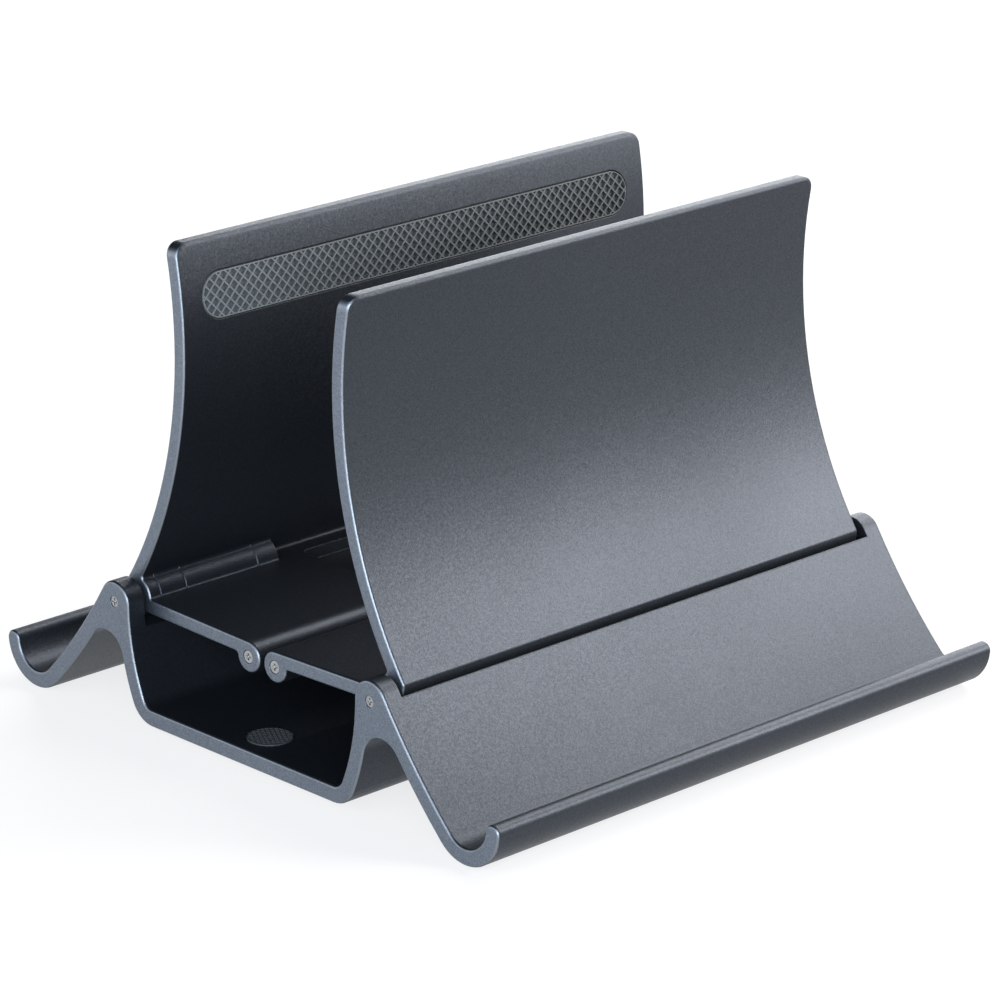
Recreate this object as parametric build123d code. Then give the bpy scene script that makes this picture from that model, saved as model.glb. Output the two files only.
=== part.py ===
from build123d import *
import math
import os

# Vertical laptop stand. Two L-shaped jaws hang on the crests of one long W-section base.
# A laptop set down on the jaws' shelves swings both uprights inwards until they grip it.
# X runs across the stand, Y from front to rear, Z up from the table. Millimetres, degrees.

# Base, a W-section moulding of constant wall
base_length = 150.0
base_wall = 3.8
foot_height = 2.0
middle_wall_radius = 50.0
middle_corner_radius = 3.0
crest_arch_radius = 5.6
slope_radius = 150.0
ledge_x = 68.55
ledge_radius = 6.1
lip_clearance = 0.2
lip_end_angle = -5.0

# Pivots, one line of hinge on each crest
pivot_x = 40.65
pivot_z = 27.6
ear_radius = 4.6
ear_thickness = 4.6
ear_gap = 1.7
closing_angle = 18.0

# Jaws, each an upright and a shelf in one moulding
barrel_radius = 4.4
barrel_length = 36.7
barrel_clearance = 0.45
barrel_cap = 3.0
seam_width = 0.3
seam_depth = 0.2
waist_x = 23.0
waist_z = 87.05
upright_wall = 3.35
upright_top = 108.85
upright_corner_radius = 3.0
toe_rise = 2.8
toe_lean = 5.0
shelf_wall = 3.4
shelf_tilt = 1.5
shelf_rise = 0.15
shelf_clearance = 0.4
bead_radius = 3.5
bead_gap = 1.2
shelf_pocket_end_gap = 7.5
shelf_pocket_side_gap = 3.65
shelf_pocket_width = 26.0
shelf_pocket_floor = 0.6
shelf_pocket_corner = 1.5
corner_fillet = 0.8

# Grip pads on the uprights and rest pads in the middle trough
grip_end_margin = 5.9
grip_height = 10.0
grip_drop = 12.3
grip_recess = 1.0
grip_proud = 0.2
pad_gap = 0.25
rest_pad_diameter = 10.0
rest_pad_inset = 8.4
rest_pad_recess = 0.5
rest_pad_proud = 0.2
rest_pad_edge = 0.15

# Feet under the middle trough
foot_diameter = 12.0
foot_x = 21.0
foot_inset = 14.0
foot_edge = 0.5

# Pivot pins, bead screws and their recesses
pin_diameter = 2.5
pin_sink = 0.15
pin_end_wall = 0.6
pin_end_clearance = 0.6
pin_running_clearance = 0.05
screw_head_diameter = 2.8
screw_head_height = 1.1
screw_head_clearance = 0.1
screw_shank_diameter = 1.6
screw_shank_length = 8.0
cross_length = 1.6
cross_width = 0.42
cross_depth = 0.5

# Return springs round the pins
spring_wire = 0.8
spring_radius = 2.1
spring_turns = 4.5
spring_seat = 10.2
spring_chamber_length = 20.4
spring_end_gap = 1.4
spring_chamber_clearance = 0.2
spring_hole_depth = 0.6
spring_hole_clearance = 0.1
spring_slot_clearance = 0.2
spring_leg_clearance = 0.05
spring_leg_overhang = 0.8

# Rounded edges
base_edge = 0.6
jaw_edge = 0.6


def point(centre, radius, angle):
    """Point on a circle, angle in degrees from +X towards +Z."""
    turn = math.radians(angle)
    return (centre[0] + radius * math.cos(turn), centre[1] + radius * math.sin(turn))


def bearing(start, end):
    """Direction from one point to another, in degrees."""
    return math.degrees(math.atan2(end[1] - start[1], end[0] - start[0]))


def meeting(centre_a, radius_a, centre_b, radius_b, side):
    """Point where two circles cross, on the left (1) or right (-1) of the line from a to b."""
    span = math.dist(centre_a, centre_b)
    along = (span**2 + radius_a**2 - radius_b**2) / (2 * span)
    off = math.degrees(math.acos(along / radius_a))
    return point(centre_a, radius_a, bearing(centre_a, centre_b) + side * off)


def crossing(centre, radius, start, angle, side):
    """Point where a line through start, at an angle, leaves (1) or enters (-1) a circle."""
    turn = math.radians(angle)
    run = (math.cos(turn), math.sin(turn))
    gap = (start[0] - centre[0], start[1] - centre[1])
    along = gap[0] * run[0] + gap[1] * run[1]
    reach = math.sqrt(along**2 - (gap[0] ** 2 + gap[1] ** 2 - radius**2))
    travel = side * reach - along
    return (start[0] + travel * run[0], start[1] + travel * run[1])


def swing(centre, radius, start, end):
    """Arc about a centre from one angle to another, the way the angles run."""
    return CenterArc(centre, radius, start, end - start)


def round_corner(section, corner, radius):
    """Round the corner of a section that lies at a given point."""
    return fillet(section.vertices().sort_by_distance((corner[0], corner[1], 0))[0], radius)


def along_length(section, length):
    """Extrude a cross-section to a length, half to the front and half to the rear."""
    return extrude(Plane.XZ * section, amount=length / 2, both=True)


def disc_along(centre, radius, y_start, y_end):
    """Cylinder along Y about a point of the cross-section."""
    plane = Plane(origin=(centre[0], y_start, centre[1]), x_dir=(-1, 0, 1), z_dir=(0, 1, 0))
    return extrude(plane * Circle(radius), amount=y_end - y_start)


def mirrored(piece):
    """The same piece on the left side."""
    return mirror(piece, about=Plane.YZ)


def at_rear(piece):
    """The same piece at the rear end."""
    return mirror(piece, about=Plane.XZ)


# Lines of the cross-section that more than one piece follows
pivot = (pivot_x, pivot_z)
floor_top = foot_height + base_wall
half_length = base_length / 2
jaw_half = half_length - ear_thickness - ear_gap
waist_in = waist_x + upright_wall - pivot_x
waist_up = waist_z - pivot_z
upright_radius = (waist_in**2 + waist_up**2 - barrel_radius**2) / (2 * (barrel_radius - waist_in))
upright_centre = (waist_x + upright_wall + upright_radius, waist_z)
grip_face_radius = upright_radius + upright_wall
grip_z = upright_top - grip_drop
grip_length = 2 * (jaw_half - grip_end_margin)
shelf_heading = 180 + shelf_tilt
shelf_start = point(pivot, shelf_rise, shelf_heading - 90)
shelf_under = point(pivot, shelf_rise - shelf_wall, shelf_heading - 90)
bead_x = bead_radius + bead_gap / 2
bead_run = (pivot_x - bead_x) / math.cos(math.radians(shelf_tilt))
bead_top = point(shelf_start, bead_run, shelf_heading)
bead = point(bead_top, bead_radius, shelf_heading + 90)
spring_outer_radius = spring_radius + spring_wire / 2
spring_chamber_radius = spring_outer_radius + spring_chamber_clearance
notch_radius = barrel_radius + barrel_clearance
notch_heading = shelf_heading + closing_angle
notch_start = point(pivot, shelf_rise - shelf_wall - shelf_clearance, notch_heading - 90)
middle_face_x = pivot_x - ear_radius
notch_edge_run = (notch_start[0] - middle_face_x) / math.cos(math.radians(notch_heading))
notch_edge = point(notch_start, -notch_edge_run, notch_heading)
pin_bore_end = barrel_length - jaw_half - pin_end_wall
spring_front = -jaw_half + spring_seat + spring_end_gap
spring_rear = -jaw_half + spring_seat + spring_chamber_length - spring_end_gap


# Base section, right half: middle floor, inner wall, crest, slope, ledge and lip
def base_half_section():
    middle_centre = (middle_face_x - middle_wall_radius, pivot_z)
    middle_outer = middle_wall_radius + base_wall
    ledge_outer = ledge_radius + base_wall
    ledge = (ledge_x, lip_clearance + ledge_outer)
    slope_centre = meeting(
        pivot, slope_radius + ear_radius, ledge, slope_radius - ledge_radius, 1
    )
    slope_outer = slope_radius + base_wall
    arch = meeting(
        middle_centre, middle_outer + crest_arch_radius, slope_centre, slope_outer + crest_arch_radius, -1
    )
    arch_turn = (bearing(arch, slope_centre), bearing(arch, middle_centre) % 360)
    floor_angle = math.degrees(math.asin((floor_top - pivot_z) / middle_wall_radius))
    under_angle = math.degrees(math.asin((foot_height - pivot_z) / middle_outer))
    crest_angle = bearing(pivot, slope_centre)
    ledge_angle = bearing(slope_centre, ledge) + 360
    lip_middle = point(ledge, ledge_radius + base_wall / 2, lip_end_angle)
    inner_corner = point(middle_centre, middle_wall_radius, floor_angle)
    outer_corner = point(middle_centre, middle_outer, under_angle)
    outline = [
        Line((0, floor_top), inner_corner),
        swing(middle_centre, middle_wall_radius, floor_angle, 0),
        swing(pivot, ear_radius, 180, crest_angle),
        swing(slope_centre, slope_radius, 180 + crest_angle, ledge_angle),
        swing(ledge, ledge_radius, ledge_angle, 360 + lip_end_angle),
        swing(lip_middle, base_wall / 2, lip_end_angle + 180, lip_end_angle),
        swing(ledge, ledge_outer, 360 + lip_end_angle, ledge_angle),
        swing(slope_centre, slope_outer, ledge_angle, 180 + arch_turn[0]),
        swing(arch, crest_arch_radius, *arch_turn),
        swing(middle_centre, middle_outer, arch_turn[1] - 180, under_angle),
        Line(outer_corner, (0, foot_height)),
        Line((0, foot_height), (0, floor_top)),
    ]
    section = make_face(outline)
    section = round_corner(section, inner_corner, middle_corner_radius)
    return round_corner(section, outer_corner, middle_corner_radius + base_wall)


# Gap between the ears of one crest, where the jaw's barrel and shelf swing
def notch_section():
    sunk = point(notch_edge, base_wall, notch_heading)
    headroom = pivot_z + 2 * ear_radius
    sweep = make_face(
        Polyline(notch_start, sunk, (sunk[0], headroom), (pivot_x, headroom), close=True)
    )
    return Pos(*pivot) * Circle(notch_radius) + sweep


def spring_leg_heading():
    """Heading of the leg that leans on the inner edge of the notch."""
    reach = math.dist(pivot, notch_edge)
    return bearing(pivot, notch_edge) % 360 - math.degrees(
        math.asin((spring_outer_radius + spring_leg_clearance) / reach)
    )


def base_shell():
    half = base_half_section()
    shell = along_length(half + mirror(half, about=Plane.YZ), base_length)
    ends = shell.faces().filter_by(Axis.Y)
    shell = fillet(ends.edges(), base_edge)
    notch = along_length(notch_section(), base_length - 2 * ear_thickness)
    bore = disc_along(pivot, pin_diameter / 2, -half_length, half_length)
    shell = shell - notch - mirrored(notch) - bore - mirrored(bore)
    for pad_y in (rest_pad_inset - half_length, half_length - rest_pad_inset):
        seat = Cylinder(
            rest_pad_diameter / 2 + pad_gap,
            rest_pad_recess,
            align=(Align.CENTER, Align.CENTER, Align.MAX),
        )
        shell = shell - Pos(0, pad_y, floor_top) * seat
    return shell


# Jaw section: upright, shelf and bead, with a barrel of a given radius in the corner or none
def jaw_section(corner_barrel):
    bead_under = crossing(bead, bead_radius, shelf_under, shelf_heading, -1)
    heel = crossing(pivot, barrel_radius, shelf_under, shelf_heading, 1)
    toe_drop = math.degrees(math.asin((waist_z - pivot_z - toe_rise) / upright_radius))
    toe = point(upright_centre, upright_radius, 180 + toe_drop)
    toe_end = crossing(pivot, barrel_radius, toe, 270 - toe_lean, 1)
    lift = upright_top - waist_z
    inner_top = 180 - math.degrees(math.asin(lift / grip_face_radius))
    outer_top = 180 - math.degrees(math.asin(lift / upright_radius))
    if corner_barrel:
        upright_foot = meeting(pivot, corner_barrel, upright_centre, grip_face_radius, 1)
        shelf_foot = crossing(pivot, corner_barrel, shelf_start, shelf_heading, 1)
        turn = (bearing(pivot, upright_foot), bearing(pivot, shelf_foot) % 360)
        barrel = [swing(pivot, corner_barrel, *turn)]
        corners = [upright_foot, shelf_foot, bead_under, heel, toe_end, toe]
    else:
        upright_foot = crossing(upright_centre, grip_face_radius, shelf_start, shelf_heading, 1)
        shelf_foot = upright_foot
        barrel = []
        corners = [upright_foot, bead_under, heel, toe_end, toe]
    upright_turn = (inner_top, bearing(upright_centre, upright_foot) % 360)
    outline = [
        swing(upright_centre, grip_face_radius, *upright_turn),
        *barrel,
        Line(shelf_foot, bead_top),
        swing(bead, bead_radius, shelf_heading - 90, bearing(bead, bead_under) + 360),
        Line(bead_under, heel),
        swing(pivot, barrel_radius, bearing(pivot, heel), bearing(pivot, toe_end)),
        Line(toe_end, toe),
        swing(upright_centre, upright_radius, 180 + toe_drop, outer_top),
        Line(
            point(upright_centre, upright_radius, outer_top),
            point(upright_centre, grip_face_radius, inner_top),
        ),
    ]
    section = make_face(outline)
    for corner in corners:
        section = round_corner(section, corner, corner_fillet)
    return section


# Round-ended outline of a grip pad, swept through the curve of the upright's inner face
def grip_solid(margin, inner_radius, outer_radius):
    obround = SlotOverall(grip_length + 2 * margin, grip_height + 2 * margin)
    face = Plane(origin=(0, 0, grip_z), x_dir=(0, 1, 0), z_dir=(1, 0, 0))
    blank = extrude(face * obround, amount=pivot_x)
    ring = Circle(outer_radius) - Circle(inner_radius)
    return blank & along_length(Pos(*upright_centre) * ring, base_length)


# Bores in the barrel at the front end of a jaw: pin, spring chamber, its mouth and its leg holes
def barrel_bores():
    seat_front = -jaw_half + spring_seat
    seat_rear = seat_front + spring_chamber_length
    bore = disc_along(
        pivot, pin_diameter / 2 + pin_running_clearance, -half_length, pin_bore_end
    )
    chamber = disc_along(pivot, spring_chamber_radius, seat_front, seat_rear)
    mouth = Box(
        2 * spring_chamber_radius,
        spring_chamber_length,
        2 * barrel_radius,
        align=(Align.CENTER, Align.MIN, Align.MAX),
    )
    leg_room = Box(
        notch_radius * 2,
        spring_wire + 2 * spring_slot_clearance,
        barrel_radius,
        align=(Align.MAX, Align.CENTER, Align.MAX),
    )
    top_hole = Box(
        spring_wire + 2 * spring_hole_clearance,
        spring_wire + 2 * spring_hole_clearance,
        spring_chamber_radius + spring_hole_depth + spring_hole_clearance,
        align=(Align.CENTER, Align.CENTER, Align.MIN),
    )
    return (
        bore
        + chamber
        + Pos(pivot_x, seat_front, pivot_z) * mouth
        + Pos(pivot_x, spring_front, pivot_z - spring_radius + spring_wire) * leg_room
        + Pos(pivot_x, spring_rear, pivot_z) * top_hole
    )


# Front half of a jaw, from slices that differ only in the barrel: bosses, seams and plain middle
def jaw_front_half():
    slices = []
    start = 0
    for seam in (barrel_cap, spring_seat, spring_seat + spring_chamber_length):
        slices.append((start, seam, barrel_radius))
        start = seam + seam_width
        slices.append((seam, start, barrel_radius - seam_depth))
    slices.append((start, barrel_length, barrel_radius))
    slices.append((barrel_length, jaw_half, 0))
    stack = []
    for near, far, corner_barrel in slices:
        plane = Plane.XZ.offset(jaw_half - near)
        stack.append(extrude(plane * jaw_section(corner_barrel), amount=near - far))
    half = stack[0] + stack[1:]
    top_end = half.faces().sort_by(Axis.Z)[-1].edges().sort_by(Axis.Y)[0]
    half = fillet(top_end, upright_corner_radius)
    # the rounding of the end edges runs on along the upright's top
    half = fillet(half.faces().sort_by(Axis.Y)[0].edges(), jaw_edge)
    half = half - barrel_bores()
    head_seat = screw_head_height - jaw_half
    head_radius = screw_head_diameter / 2 + screw_head_clearance
    half = half - disc_along(bead, head_radius, -jaw_half, head_seat)
    return half - disc_along(bead, screw_shank_diameter / 2, head_seat, head_seat + screw_shank_length)


def right_jaw():
    half = jaw_front_half()
    jaw = half + at_rear(half)
    jaw = jaw - grip_solid(pad_gap, grip_face_radius - grip_recess, grip_face_radius + upright_wall)
    shelf = Plane(
        origin=(shelf_start[0], 0, shelf_start[1]),
        x_dir=(math.cos(math.radians(shelf_tilt)), 0, math.sin(math.radians(shelf_tilt))),
        z_dir=(-math.sin(math.radians(shelf_tilt)), 0, math.cos(math.radians(shelf_tilt))),
    )
    pocket_length = 2 * (jaw_half - barrel_length - shelf_pocket_end_gap)
    pocket_middle = -shelf_pocket_side_gap - shelf_pocket_width / 2
    pocket = RectangleRounded(shelf_pocket_width, pocket_length, shelf_pocket_corner)
    pocket_depth = shelf_wall - shelf_pocket_floor
    return jaw - extrude(shelf * Pos(pocket_middle, 0) * pocket, amount=-pocket_depth)


# Cross recess for a driver, sunk from the front end of a pin or screw
def cross_recess(centre, y_front):
    plane = Plane(origin=(centre[0], y_front, centre[1]), x_dir=(1, 0, 0), z_dir=(0, 1, 0))
    cross = Rectangle(cross_length, cross_width) + Rectangle(cross_width, cross_length)
    return extrude(plane * cross, amount=cross_depth)


def pivot_pin():
    front = pin_sink - half_length
    pin = disc_along(pivot, pin_diameter / 2, front, pin_bore_end - pin_end_clearance)
    return pin - cross_recess(pivot, front)


def bead_screw():
    seat = screw_head_height - jaw_half
    head = disc_along(bead, screw_head_diameter / 2, -jaw_half + screw_head_clearance, seat)
    shank = disc_along(bead, screw_shank_diameter / 2, seat, seat + screw_shank_length)
    return head + shank - cross_recess(bead, -jaw_half + screw_head_clearance)


# Return spring: square wire coiled round the pin, one leg on the base and one in the barrel
def return_spring():
    axis = Plane(origin=(pivot_x, spring_front, pivot_z), x_dir=(0, 0, -1), z_dir=(0, 1, 0))
    height = spring_rear - spring_front
    path = Helix(height / spring_turns, height, spring_radius, lefthand=True)
    wire = Plane(origin=path @ 0, z_dir=path % 0) * Rectangle(spring_wire, spring_wire)
    coil = axis * sweep(wire, path=path, is_frenet=True)
    heading = spring_leg_heading()
    leg_length = math.dist(pivot, notch_edge) + spring_leg_overhang
    leg_root = point(pivot, spring_radius, heading + 90)
    leg_plane = Plane(
        origin=(leg_root[0], spring_front, leg_root[1]),
        x_dir=(math.cos(math.radians(heading)), 0, math.sin(math.radians(heading))),
        z_dir=(0, 1, 0),
    )
    leg = Box(leg_length, spring_wire, spring_wire, align=(Align.MIN, Align.CENTER, Align.CENTER))
    catch = Box(
        spring_wire,
        spring_wire,
        spring_chamber_radius + spring_hole_depth - spring_radius,
        align=(Align.CENTER, Align.CENTER, Align.MIN),
    )
    return coil + leg_plane * leg + Pos(pivot_x, spring_rear, pivot_z + spring_radius) * catch


def rest_pad():
    pad = Cylinder(
        rest_pad_diameter / 2,
        rest_pad_recess + rest_pad_proud,
        align=(Align.CENTER, Align.CENTER, Align.MIN),
    )
    pad = fillet(pad.edges().group_by(Axis.Z)[-1], rest_pad_edge)
    return Pos(0, rest_pad_inset - half_length, floor_top - rest_pad_recess) * pad


def foot():
    pad = Cylinder(foot_diameter / 2, foot_height, align=(Align.CENTER, Align.CENTER, Align.MIN))
    pad = chamfer(pad.edges().group_by(Axis.Z)[0], foot_edge)
    return Pos(foot_x, foot_inset - half_length, 0) * pad


nodes = {"base_shell": base_shell()}
sided = {
    "jaw": right_jaw(),
    "grip_pad": grip_solid(0, grip_face_radius - grip_recess, grip_face_radius + grip_proud),
}
cornered = {
    "pivot_pin": pivot_pin(),
    "return_spring": return_spring(),
    "bead_screw": bead_screw(),
    "foot": foot(),
}
for name, piece in sided.items():
    nodes["right_" + name] = piece
    nodes["left_" + name] = mirrored(piece)
for name, piece in cornered.items():
    nodes["right_front_" + name] = piece
    nodes["right_rear_" + name] = at_rear(piece)
    nodes["left_front_" + name] = mirrored(piece)
    nodes["left_rear_" + name] = mirrored(at_rear(piece))
nodes["front_rest_pad"] = rest_pad()
nodes["rear_rest_pad"] = at_rear(rest_pad())

os.makedirs("parts", exist_ok=True)
for name, piece in nodes.items():
    export_step(piece, f"parts/{name}.step")
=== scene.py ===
import math

import bmesh
import bpy
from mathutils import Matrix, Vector


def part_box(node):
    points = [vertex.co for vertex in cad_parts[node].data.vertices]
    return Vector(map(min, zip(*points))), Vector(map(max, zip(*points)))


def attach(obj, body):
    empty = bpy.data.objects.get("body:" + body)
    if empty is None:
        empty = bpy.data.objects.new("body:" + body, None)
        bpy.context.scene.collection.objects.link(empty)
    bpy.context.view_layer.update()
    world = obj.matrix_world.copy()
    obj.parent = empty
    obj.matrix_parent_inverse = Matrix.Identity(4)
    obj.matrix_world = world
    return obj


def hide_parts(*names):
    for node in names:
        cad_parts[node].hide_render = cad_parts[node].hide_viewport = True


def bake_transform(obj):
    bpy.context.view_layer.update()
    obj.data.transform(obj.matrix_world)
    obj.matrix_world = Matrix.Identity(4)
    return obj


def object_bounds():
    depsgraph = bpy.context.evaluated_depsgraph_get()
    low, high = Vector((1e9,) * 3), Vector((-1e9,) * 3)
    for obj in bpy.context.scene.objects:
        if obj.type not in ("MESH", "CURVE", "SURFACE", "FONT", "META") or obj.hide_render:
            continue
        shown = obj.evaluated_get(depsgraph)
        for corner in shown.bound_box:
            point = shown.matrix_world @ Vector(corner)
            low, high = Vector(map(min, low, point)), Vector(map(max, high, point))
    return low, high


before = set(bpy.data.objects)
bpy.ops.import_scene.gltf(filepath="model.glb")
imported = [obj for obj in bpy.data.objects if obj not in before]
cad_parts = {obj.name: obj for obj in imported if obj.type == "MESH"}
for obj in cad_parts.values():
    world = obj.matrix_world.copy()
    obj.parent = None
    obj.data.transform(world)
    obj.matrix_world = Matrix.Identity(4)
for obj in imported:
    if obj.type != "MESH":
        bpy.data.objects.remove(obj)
cad_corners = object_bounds()

# Base shell: one long W-section moulding, with a trough in the middle and a ledge along each side.
# It is ABS under a sprayed satin paint, grey with a blue cast, whose metal flakes show as a fine sparkle.
# Light is painted on the cut ends, lighter than the long faces, and a pale highlight is painted on the
# rounded edges at their sides.
paint_dark = (0.025, 0.0287, 0.0348, 1.0)
paint_light = (0.0565, 0.0648, 0.0785, 1.0)
paint_metal = 0.91
paint_roughness = 0.42
mottle_roughness = 0.10
cloud_polish = 0.05

flake_size = 0.00022
flake_tilt = 0.08
mottle_size = 0.00050
cloud_size = 0.045
flake_share = 0.46
mottle_share = 0.36
cloud_share = 0.18
peel_height = 0.000003
peel_strength = 0.35

# Every sharp edge is broken by a small radius, and the jaws' top edges by a larger one.
broken_edge = 0.00025
top_edge = 0.00130
top_edge_below = (0.00185, 0.00125)
edge_samples = 8

# The end zone goes this far in from the cut ends. In it, a face's turn to the end is the square of its
# normal's Y, 0 on a long face and 1 on a cut end, and its turn to the side is X squared less Z squared.
end_zone = 0.0085
# Lighter paint on the cut ends: painted light, for the light they catch.
lit_end_dark = (0.062, 0.071, 0.086, 1.0)
lit_end_light = (0.222, 0.256, 0.310, 1.0)
end_turn = (0.45, 0.85)
# Pale colour on the rounded side edges of the cut ends: a painted highlight.
painted_edge_highlight = (0.190, 0.204, 0.226, 1.0)
edge_turn_from = (0.04, 0.25)
edge_turn_until = (0.97, 0.85)
side_turn = (-0.45, 0.15)


class Shade:
    """A value in a finish's node tree. Arithmetic on it adds the Math nodes that work it out."""

    def __init__(self, tree, socket=None):
        self.tree = tree
        self.socket = socket

    def node(self, kind, settings=None, sockets=None, output=0):
        """Add a node: its settings first, then the values or links of its sockets."""
        made = self.tree.nodes.new(kind)
        for name, value in (settings or {}).items():
            setattr(made, name, value)
        for name, value in (sockets or {}).items():
            if isinstance(value, Shade):
                self.tree.links.new(value.socket, made.inputs[name])
            else:
                made.inputs[name].default_value = value
        return Shade(self.tree, made.outputs[output] if made.outputs else None)

    def maths(self, operation, first, second):
        return self.node("ShaderNodeMath", {"operation": operation}, {0: first, 1: second})

    def __add__(self, other):
        return self.maths("ADD", self, other)

    def __sub__(self, other):
        return self.maths("SUBTRACT", self, other)

    def __rsub__(self, other):
        return self.maths("SUBTRACT", other, self)

    def __mul__(self, other):
        return self.maths("MULTIPLY", self, other)

    def __gt__(self, other):
        return self.maths("GREATER_THAN", self, other)

    def __lt__(self, other):
        return self.maths("LESS_THAN", self, other)

    __radd__ = __add__
    __rmul__ = __mul__

    def tint(self, low, high):
        """Colour that goes from low to high as this value goes from 0 to 1."""
        # A Mix node has its two colours in sockets 6 and 7, and their mix in output 2.
        return self.node("ShaderNodeMix", {"data_type": "RGBA"}, {0: self, 6: low, 7: high}, 2)


def make_finish(name, constants, recipe):
    """Principled finish: constants set on its sockets, and what varies worked out by the recipe."""
    material = bpy.data.materials.new(name)
    material.use_nodes = True
    surface = material.node_tree.nodes["Principled BSDF"]
    for socket, value in constants.items():
        surface.inputs[socket].default_value = value
    for socket, shade in recipe(Shade(material.node_tree)).items():
        material.node_tree.links.new(shade.socket, surface.inputs[socket])
    return material


def grain(place, size, detail=2.0):
    """Soft noise of about the given size."""
    sockets = {"Vector": place, "Scale": 1 / size, "Detail": detail}
    return place.node("ShaderNodeTexNoise", {}, sockets, "Fac")


def axis(vector, name):
    """One coordinate of a vector."""
    return vector.node("ShaderNodeSeparateXYZ", {}, {"Vector": vector}, name)


def ramp(value, low, high):
    """0 below low and 1 above high, or the other way round if low is the larger."""
    return value.node("ShaderNodeMapRange", {}, {"Value": value, "From Min": low, "From Max": high})


def vector_maths(operation, first, *others):
    """A Vector Math node on a vector or colour."""
    return first.node("ShaderNodeVectorMath", {"operation": operation}, dict(enumerate((first, *others))))


def skin(height, strength, depth, under=None):
    """Normal of a skin that rises and falls with a value, on top of another normal if one is given."""
    sockets = {"Strength": strength, "Distance": depth, "Height": height}
    if under is not None:
        sockets["Normal"] = under
    return height.node("ShaderNodeBump", {}, sockets)


def flake_paint(root):
    """Recipe of the paint: its uneven tone, its leaning flakes over broken edges, and light painted on its
    ends.
    """
    place = root.node("ShaderNodeTexCoord", output="Object")
    flakes = root.node("ShaderNodeTexVoronoi", {}, {"Vector": place, "Scale": 1 / flake_size}, "Color")
    flake_tone = root.node("ShaderNodeRGBToBW", {}, {"Color": flakes})
    mottle = grain(place, mottle_size)
    cloud = grain(place, cloud_size)
    tone = flake_share * flake_tone + mottle_share * mottle + cloud_share * cloud

    top_edge_from, top_edge_full = (cad_corners[1].z - below for below in top_edge_below)
    near_top = ramp(axis(place, "Z"), top_edge_from, top_edge_full)
    rounding = broken_edge + (top_edge - broken_edge) * near_top
    edge = root.node("ShaderNodeBevel", {"samples": edge_samples}, {"Radius": rounding})
    lean = vector_maths("MULTIPLY_ADD", flakes, (flake_tilt,) * 3, (-flake_tilt / 2,) * 3)
    leaning = vector_maths("NORMALIZE", vector_maths("ADD", edge, lean))

    facing = root.node("ShaderNodeTexCoord", output="Normal")
    sideways, endways, upways = (axis(facing, name) for name in "XYZ")
    reach = axis(place, "Y")
    end_from = cad_corners[1].y - end_zone
    at_end = (reach * reach > end_from**2) * (reach * endways > 0.0)
    turned = endways * endways
    # Light is painted on the cut ends, and a highlight on their rounded side edges.
    lit_end_face = at_end * ramp(turned, *end_turn)
    end_edge = at_end * ramp(turned, *edge_turn_from) * ramp(turned, *edge_turn_until)
    side_edge_highlight = end_edge * ramp(sideways * sideways - upways * upways, *side_turn)
    coat_with_lit_ends = lit_end_face.tint(tone.tint(paint_dark, paint_light), tone.tint(lit_end_dark, lit_end_light))
    return {
        "Base Color": side_edge_highlight.tint(coat_with_lit_ends, painted_edge_highlight),
        "Roughness": paint_roughness + mottle_roughness * mottle - cloud_polish * cloud,
        "Normal": skin(mottle, peel_strength, peel_height, leaning),
    }


satin_paint = make_finish("satin_metallic_paint", {"Metallic": paint_metal}, flake_paint)
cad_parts["base_shell"].data.materials[0] = satin_paint

# Feet: four discs of dark rubber, moulded and stuck under the floor of the middle trough.
# Only their rims show from the side, so they need a matt, slightly dusty black.
foot_dark = (0.012, 0.012, 0.013, 1.0)
foot_light = (0.035, 0.035, 0.037, 1.0)
foot_gloss = 0.35
foot_roughness = 0.65
dust_roughness = 0.25
dust_size = 0.0006
dust_detail = 4.0
foot_skin_strength = 0.3
foot_skin_height = 0.00004
sides = ("left", "right")
ends = ("front", "rear")
corners = [f"{side}_{end}" for side in sides for end in ends]


def matt_rubber(root):
    """Recipe of the feet's rubber, uneven with fine dust."""
    place = root.node("ShaderNodeTexCoord", output="Object")
    dust = grain(place, dust_size, dust_detail)
    return {
        "Base Color": dust.tint(foot_dark, foot_light),
        "Roughness": foot_roughness + dust_roughness * dust,
        "Normal": skin(dust, foot_skin_strength, foot_skin_height),
    }


foot_rubber = make_finish("foot_rubber", {"Specular IOR Level": foot_gloss}, matt_rubber)
for corner in corners:
    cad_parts[f"{corner}_foot"].data.materials[0] = foot_rubber

# Rest pads: two round silicone buttons glued into the floor of the trough, one near each end.
# Each is moulded with a fine lattice of raised ribs on its face, inside a thin rim.
rest_rib_pitch = 0.00100
rest_rib_width = 0.00034
rest_rib_height = 0.00028
rest_rib_turn = math.radians(14)
rest_rim = 0.00024
# The rest pads' silicone is darker than the grip pads': painted shade from the trough, darker still in the
# cells.
rest_shaded_cell_dark = (0.005, 0.0055, 0.006, 1.0)
rest_shaded_cell_light = (0.012, 0.013, 0.014, 1.0)
rest_shaded_rib_dark = (0.011, 0.0125, 0.0145, 1.0)
rest_shaded_rib_light = (0.031, 0.035, 0.040, 1.0)
silicone_gloss = 0.4
silicone_roughness = 0.55
bloom_roughness = 0.2
bloom_size = 0.00045
bloom_detail = 3.0
bloom_share = 0.6
bloom_cloud_share = 0.4
bloom_strength = 0.25
bloom_height = 0.00003

# Half a rib in section, from the middle of its crest down to the cell, in shares of its half width and its
# height. Only the first steps of it have the rib's finish; the lower steps and the cell floor are darker, as
# painted shade.
rib_section = ((0.0, 0.0), (0.55, 0.0), (0.85, 0.22), (1.0, 0.55), (1.12, 0.88), (1.35, 1.0))
crest_steps = 2
rib_finish = 0
shaded_cell_finish = 1
rib_angle = math.radians(45)
cell_corners = ((1, 1), (-1, 1), (-1, -1), (1, -1))

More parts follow.
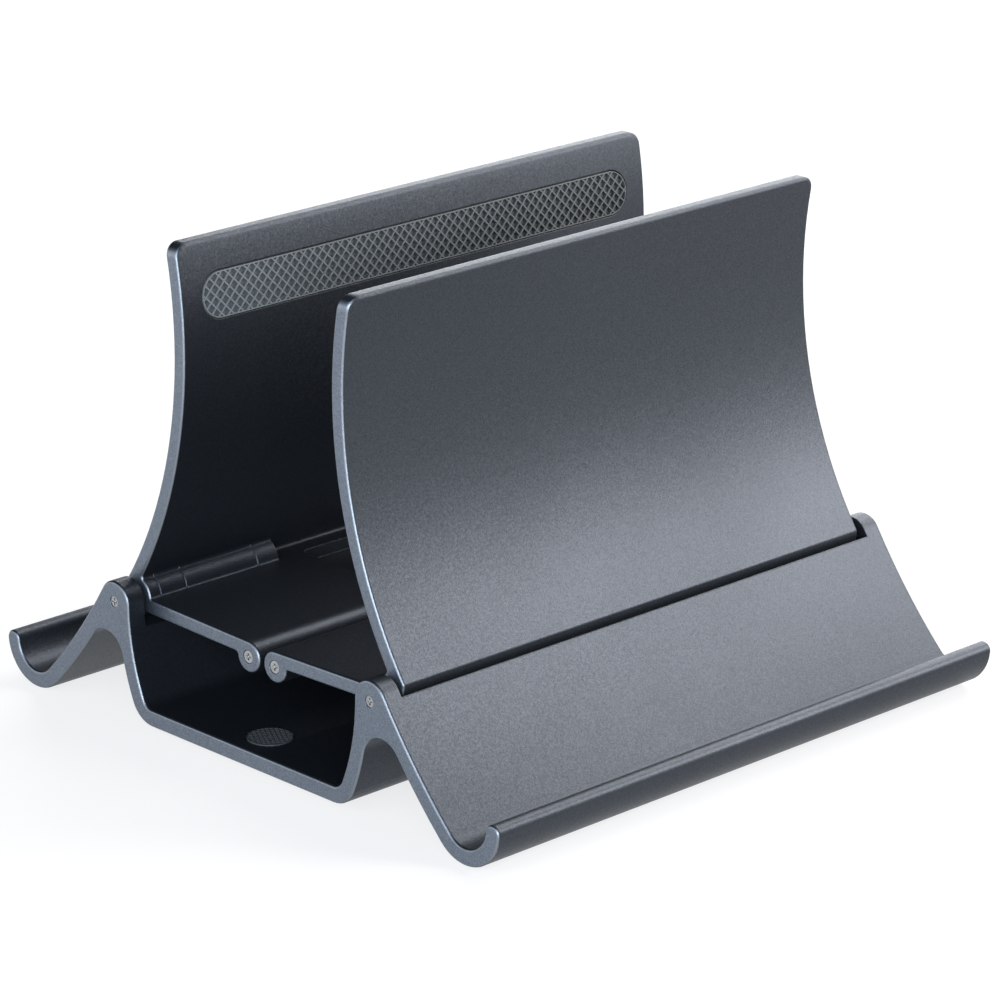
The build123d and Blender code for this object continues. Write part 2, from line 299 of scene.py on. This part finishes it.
# The rim's rounded top in section: shares of its thickness, across it and down from its top.
rim_section = ((0.0, 0.4), (0.15, 0.1), (0.4, 0.0), (0.6, 0.0), (0.85, 0.1), (1.0, 0.4))
rim_steps = 48
sharp_angle = math.radians(38)
weld_share = 1e-4
cut_tolerance = 1e-8


def band(sheet, outer, inner):
    """Faces that join two closed loops of as many corners each."""
    quads = zip(outer, outer[1:] + outer[:1], inner[1:] + inner[:1], inner)
    return [sheet.faces.new(quad) for quad in quads]


def lattice_sheet(pitch, rib_width, rib_height, turn, reach_x, reach_y):
    """Flat sheet of square cells between crossed ribs, turned in its plane, that covers its reach."""
    sheet = bmesh.new()
    half_pitch = pitch / 2
    profile = [(share * rib_width / 2, -drop * rib_height) for share, drop in rib_section]
    count = math.ceil(math.hypot(reach_x, reach_y) / pitch) + 1
    heading = rib_angle + turn
    across = Vector((math.cos(heading), math.sin(heading), 0))
    along = Vector((-math.sin(heading), math.cos(heading), 0))
    for column in range(-count, count + 1):
        for row in range(-count, count + 1):
            centre = across * (column * pitch) + along * (row * pitch)
            if abs(centre.x) > reach_x + pitch or abs(centre.y) > reach_y + pitch:
                continue
            rings = []
            for inset, level in profile:
                side = half_pitch - inset
                lift = Vector((0, 0, level))
                points = [centre + across * side * i + along * side * j + lift for i, j in cell_corners]
                rings.append([sheet.verts.new(point) for point in points])
            for step, (outer, inner) in enumerate(zip(rings, rings[1:])):
                for face in band(sheet, outer, inner):
                    face.material_index = rib_finish if step < crest_steps else shaded_cell_finish
            sheet.faces.new(rings[-1]).material_index = shaded_cell_finish
    bmesh.ops.remove_doubles(sheet, verts=sheet.verts, dist=pitch * weld_share)
    return sheet


def obround(length, width):
    """Corners of a round-ended outline about the origin, counter-clockwise, or of a circle if both agree."""
    radius = width / 2
    straight = length / 2 - radius
    outline = []
    for step in range(2 * rim_steps):
        turn = math.pi * (step + 0.5) / rim_steps - math.pi / 2
        shift = straight if step < rim_steps else -straight
        outline.append(Vector((shift + radius * math.cos(turn), radius * math.sin(turn), 0)))
    return outline


def trim_to_outline(sheet, outline):
    """Cut away what lies outside a convex outline."""
    for here, after in zip(outline, outline[1:] + outline[:1]):
        run = after - here
        outward = Vector((run.y, -run.x, 0))
        bmesh.ops.bisect_plane(
            sheet,
            geom=sheet.verts[:] + sheet.edges[:] + sheet.faces[:],
            dist=cut_tolerance,
            plane_co=here,
            plane_no=outward,
            clear_outer=True,
        )


def close_below(sheet, depth):
    """Give a sheet side walls and a flat back at a depth."""
    edges = [edge for edge in sheet.edges if edge.is_boundary]
    walls = bmesh.ops.extrude_edge_only(sheet, edges=edges)["geom"]
    for item in walls:
        if isinstance(item, bmesh.types.BMVert):
            item.co.z = -depth
    bottom = [edge for edge in sheet.edges if edge.is_boundary]
    bmesh.ops.contextual_create(sheet, geom=bottom)


def rim_ring(sheet, length, width, thickness, depth):
    """Add a thin raised rim: a strip with a rounded top, run round the outline."""
    top = [(across * thickness, -down * thickness) for across, down in rim_section]
    loops = []
    for inset, level in [(0.0, -depth), *top, (thickness, -depth)]:
        outline = obround(length - 2 * inset, width - 2 * inset)
        loops.append([sheet.verts.new(point + Vector((0, 0, level))) for point in outline])
    for outer, inner in zip(loops, loops[1:] + loops[:1]):
        band(sheet, outer, inner)


def ribbed_pad(length, width, depth, pitch, rib_width, rib_height, turn, rim):
    """Ribbed pad lying flat: lattice, rim, walls and back, with its top at height 0."""
    sheet = lattice_sheet(pitch, rib_width, rib_height, turn, length / 2, width / 2)
    trim_to_outline(sheet, obround(length - rim, width - rim))
    close_below(sheet, depth)
    rim_ring(sheet, length, width, rim, depth)
    bmesh.ops.recalc_face_normals(sheet, faces=sheet.faces)
    return sheet


def as_piece(name, sheet, finishes, body, node):
    """Turn a built mesh into a piece that stands for a node and rides on its body."""
    mesh = bpy.data.meshes.new(name)
    sheet.to_mesh(mesh)
    sheet.free()
    for finish in finishes:
        mesh.materials.append(finish)
    mesh.shade_smooth()
    mesh.set_sharp_from_angle(angle=sharp_angle)
    piece = bpy.data.objects.new(name, mesh)
    bpy.context.scene.collection.objects.link(piece)
    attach(piece, body)
    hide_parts(node)


def silicone(name, dark, light):
    """Matt silicone between two tones, with a faint bloom."""

    def recipe(root):
        place = root.node("ShaderNodeTexCoord", output="Object")
        bloom = grain(place, bloom_size, bloom_detail)
        cloud = grain(place, cloud_size)
        return {
            "Base Color": (bloom_share * bloom + bloom_cloud_share * cloud).tint(dark, light),
            "Roughness": silicone_roughness + bloom_roughness * bloom,
            "Normal": skin(bloom, bloom_strength, bloom_height),
        }

    return make_finish(name, {"Specular IOR Level": silicone_gloss}, recipe)


rest_finishes = [
    silicone("rest_shaded_rib_silicone", rest_shaded_rib_dark, rest_shaded_rib_light),
    silicone("rest_shaded_cell_silicone", rest_shaded_cell_dark, rest_shaded_cell_light),
]
for end in ends:
    low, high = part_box(f"{end}_rest_pad")
    middle = (low + high) / 2
    button = ribbed_pad(
        length=high.x - low.x,
        width=high.x - low.x,
        depth=high.z - low.z,
        pitch=rest_rib_pitch,
        rib_width=rest_rib_width,
        rib_height=rest_rib_height,
        turn=rest_rib_turn,
        rim=rest_rim,
    )
    bmesh.ops.translate(button, verts=button.verts, vec=(middle.x, middle.y, high.z))
    as_piece(f"{end}_rest_button", button, rest_finishes, "base", f"{end}_rest_pad")

# Jaws: two L-shaped mouldings, concave upright and shelf in one, with barrels that sit between the base's
# ears. They are ABS like the base and sprayed with the same paint.
for side in sides:
    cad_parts[f"{side}_jaw"].data.materials[0] = satin_paint

# Return springs: square wire coiled in each barrel, its outer leg on the base and its inner one in the jaw.
# They are drawn spring steel with a film of oil, darker than the pins that go through them.
# As the jaw turns they wind up.
wire_dark = (0.16, 0.16, 0.17, 1.0)
wire_light = (0.34, 0.34, 0.35, 1.0)
wire_roughness = 0.28
oil_roughness = 0.2
oil_size = 0.0009
oil_detail = 3.0


def drawn_wire(root):
    """Recipe of the spring's wire, uneven with oil."""
    place = root.node("ShaderNodeTexCoord", output="Object")
    oil = grain(place, oil_size, oil_detail)
    return {
        "Base Color": oil.tint(wire_dark, wire_light),
        "Roughness": wire_roughness + oil_roughness * oil,
    }


spring_wire = make_finish("spring_wire", {"Metallic": 1.0}, drawn_wire)
for corner in corners:
    side, end = corner.split("_")
    solid = f"{corner}_return_spring"
    coil = bpy.data.objects.new(f"{corner}_spring_coil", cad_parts[solid].data.copy())
    coil.data.materials[0] = spring_wire
    bpy.context.scene.collection.objects.link(coil)
    low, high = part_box(solid)
    middle = (low + high) / 2
    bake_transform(coil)
    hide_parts(solid)

# Pivot pins: turned steel shafts pushed through the ears into the barrels, with a cross recess in each end.
# They are plated bright, and fine marks in the plating dull them a little.
steel_dark = (0.16, 0.165, 0.17, 1.0)
steel_light = (0.58, 0.58, 0.57, 1.0)
steel_roughness = 0.18
mark_roughness = 0.22
mark_size = 0.0004
mark_detail = 4.0
steel_edge = 0.00012
steel_edge_samples = 6


def plated_steel(root):
    """Recipe of the plating, with its marks and its slightly rounded edges."""
    place = root.node("ShaderNodeTexCoord", output="Object")
    marks = grain(place, mark_size, mark_detail)
    return {
        "Base Color": marks.tint(steel_dark, steel_light),
        "Roughness": steel_roughness + mark_roughness * marks,
        "Normal": root.node("ShaderNodeBevel", {"samples": steel_edge_samples}, {"Radius": steel_edge}),
    }


bright_steel = make_finish("plated_steel", {"Metallic": 1.0}, plated_steel)
for corner in corners:
    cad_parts[f"{corner}_pivot_pin"].data.materials[0] = bright_steel

# Grip pads: long round-ended silicone strips glued into a shallow recess near the top of each upright.
# Raised ribs cross at right angles on them, and they bend with the upright's concave face.
grip_diamond = 0.00264
grip_rib_pitch = grip_diamond / math.sqrt(2)
grip_rib_width = 0.00052
grip_rib_height = 0.00065
grip_rim = 0.00030
grip_depth = 0.0010
grip_proud = 0.0002
# Darker cells between the ribs: painted shade.
grip_shaded_cell_dark = (0.036, 0.038, 0.040, 1.0)
grip_shaded_cell_light = (0.080, 0.084, 0.088, 1.0)
grip_rib_dark = (0.064, 0.070, 0.071, 1.0)
grip_rib_light = (0.142, 0.154, 0.155, 1.0)
upright_waist_x = 0.0230
upright_waist_height = 0.08705
upright_face_radius = 0.10280


def bend_to_upright(sheet, middle_z, sign):
    """Lay a flat strip on the upright's face: its length along Y, its width up the curve."""
    top_x = upright_waist_x - grip_proud
    top_radius = upright_face_radius + grip_proud
    top_lift = middle_z - upright_waist_height
    for vert in sheet.verts:
        along, up, level = vert.co
        lift = top_lift + up
        radius = top_radius + level
        slope = math.asin(lift / top_radius)
        out = top_x + top_radius - radius * math.cos(slope)
        vert.co = Vector((sign * out, along, upright_waist_height + radius * math.sin(slope)))
    bmesh.ops.recalc_face_normals(sheet, faces=sheet.faces)


grip_finishes = [
    silicone("grip_rib_silicone", grip_rib_dark, grip_rib_light),
    silicone("grip_shaded_cell_silicone", grip_shaded_cell_dark, grip_shaded_cell_light),
]
for side, sign in (("left", -1), ("right", 1)):
    solid = f"{side}_grip_pad"
    low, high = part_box(solid)
    strip = ribbed_pad(
        length=high.y - low.y,
        width=high.z - low.z,
        depth=grip_depth,
        pitch=grip_rib_pitch,
        rib_width=grip_rib_width,
        rib_height=grip_rib_height,
        turn=0.0,
        rim=grip_rim,
    )
    bend_to_upright(strip, (low.z + high.z) / 2, sign)
    as_piece(f"{side}_grip_strip", strip, grip_finishes, f"{side}_jaw_arm", solid)

# Bead screws: small steel screws with a cross recess, plated like the pins.
# They are driven in flush with the front and rear ends of the bead along each shelf.
for corner in corners:
    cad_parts[f"{corner}_bead_screw"].data.materials[0] = bright_steel

# Stage: a wide floor of plain paper that the stand rests on.
# It shows nearly white, also where the paint mirrors it, and keeps the soft shadow under the stand.
floor_reach = 40.0
floor_grey = (0.20, 0.20, 0.20, 1.0)
floor_glow = 0.76


def pale_floor():
    """Grey paper with a glow that only the camera and mirroring or clear surfaces see."""
    material = bpy.data.materials.new("pale_floor")
    material.use_nodes = True
    material.node_tree.nodes.clear()
    root = Shade(material.node_tree)
    rays = ("Is Camera Ray", "Is Glossy Ray", "Is Transmission Ray")
    direct, mirrored, through = (root.node("ShaderNodeLightPath", output=ray) for ray in rays)
    paper = root.node("ShaderNodeBsdfDiffuse", {}, {"Color": floor_grey})
    glow = root.node("ShaderNodeEmission", {}, {"Strength": floor_glow * (direct + mirrored + through)})
    both = root.node("ShaderNodeAddShader", {}, {0: paper, 1: glow})
    root.node("ShaderNodeOutputMaterial", {}, {"Surface": both})
    return material


bpy.ops.mesh.primitive_plane_add(size=floor_reach)
floor = bpy.context.object
floor.name = "floor"
floor.data.materials.append(pale_floor())

# Light: three soft boxes behind the stand and three in front of it, and a dim bluish surround.
# Those behind draw the bright bands on the right jaw and slope, and those in front light the ends and pads.
surround = 0.100
surround_tone = (0.62, 0.76, 1.0, 1.0)
warm = (1.0, 0.95, 0.91)
faintly_warm = (1.0, 0.96, 0.93)
faintly_cool = (0.93, 0.96, 1.0)
neutral = (1.0, 1.0, 1.0)
bluish = (0.76, 0.87, 1.0)
lamp_distance = 0.9
target = Vector((0.00082, 0.0, 0.04312))

world = bpy.context.scene.world or bpy.data.worlds.new("studio")
bpy.context.scene.world = world
world.use_nodes = True
world.node_tree.nodes.clear()
root = Shade(world.node_tree)
dim = root.node("ShaderNodeBackground", {}, {"Color": surround_tone, "Strength": surround})
root.node("ShaderNodeOutputWorld", {}, {"Surface": dim})


def soft_box(name, bearing, lift, width, height, level, tone):
    """Soft light at a bearing from +X and a lift in degrees; a level of 1 lights a white card to white."""
    lamp = bpy.data.lights.new(name, "AREA")
    lamp.shape = "RECTANGLE"
    lamp.size = width
    lamp.size_y = height
    lamp.energy = level * (math.pi * lamp_distance) ** 2
    lamp.color = tone
    holder = bpy.data.objects.new(name, lamp)
    turn = math.radians(bearing)
    rise = math.radians(lift)
    direction = Vector((math.cos(turn) * math.cos(rise), math.sin(turn) * math.cos(rise), math.sin(rise)))
    holder.location = target + direction * lamp_distance
    holder.rotation_mode = "QUATERNION"
    holder.rotation_quaternion = direction.to_track_quat("Z", "Y")
    holder.visible_camera = False
    bpy.context.scene.collection.objects.link(holder)


soft_box("rear_right_box", bearing=48, lift=22, width=0.42, height=0.36, level=0.98, tone=warm)
soft_box("rear_high_box", bearing=88, lift=44, width=0.70, height=0.58, level=1.18, tone=faintly_warm)
soft_box("rear_box", bearing=122, lift=18, width=0.75, height=0.32, level=0.60, tone=faintly_cool)
soft_box("front_left_box", bearing=228, lift=8, width=0.90, height=0.40, level=0.34, tone=neutral)
soft_box("front_box", bearing=286, lift=24, width=1.10, height=0.55, level=0.75, tone=bluish)
soft_box("front_right_box", bearing=316, lift=10, width=0.60, height=0.30, level=1.25, tone=bluish)

# Camera: a long lens from the front right, a little above the stand, as in the photograph.
# The azimuth is 0 in front of the stand and goes round to its right side at 90 degrees.
camera_azimuth = math.radians(46.165)
camera_elevation = math.radians(19.0)
camera_distance = 1.0204
camera_lens = 168.56
camera_sensor = 36.0
camera_data = bpy.data.cameras.new("camera")
camera_data.lens = camera_lens
camera_data.sensor_width = camera_sensor
camera = bpy.data.objects.new("camera", camera_data)
back = Vector(
    (
        math.sin(camera_azimuth) * math.cos(camera_elevation),
        -math.cos(camera_azimuth) * math.cos(camera_elevation),
        math.sin(camera_elevation),
    )
)
camera.location = target + back * camera_distance
camera.rotation_mode = "QUATERNION"
camera.rotation_quaternion = back.to_track_quat("Z", "Y")
bpy.context.scene.collection.objects.link(camera)
bpy.context.scene.camera = camera
bpy.context.scene.view_settings.view_transform = "Standard"
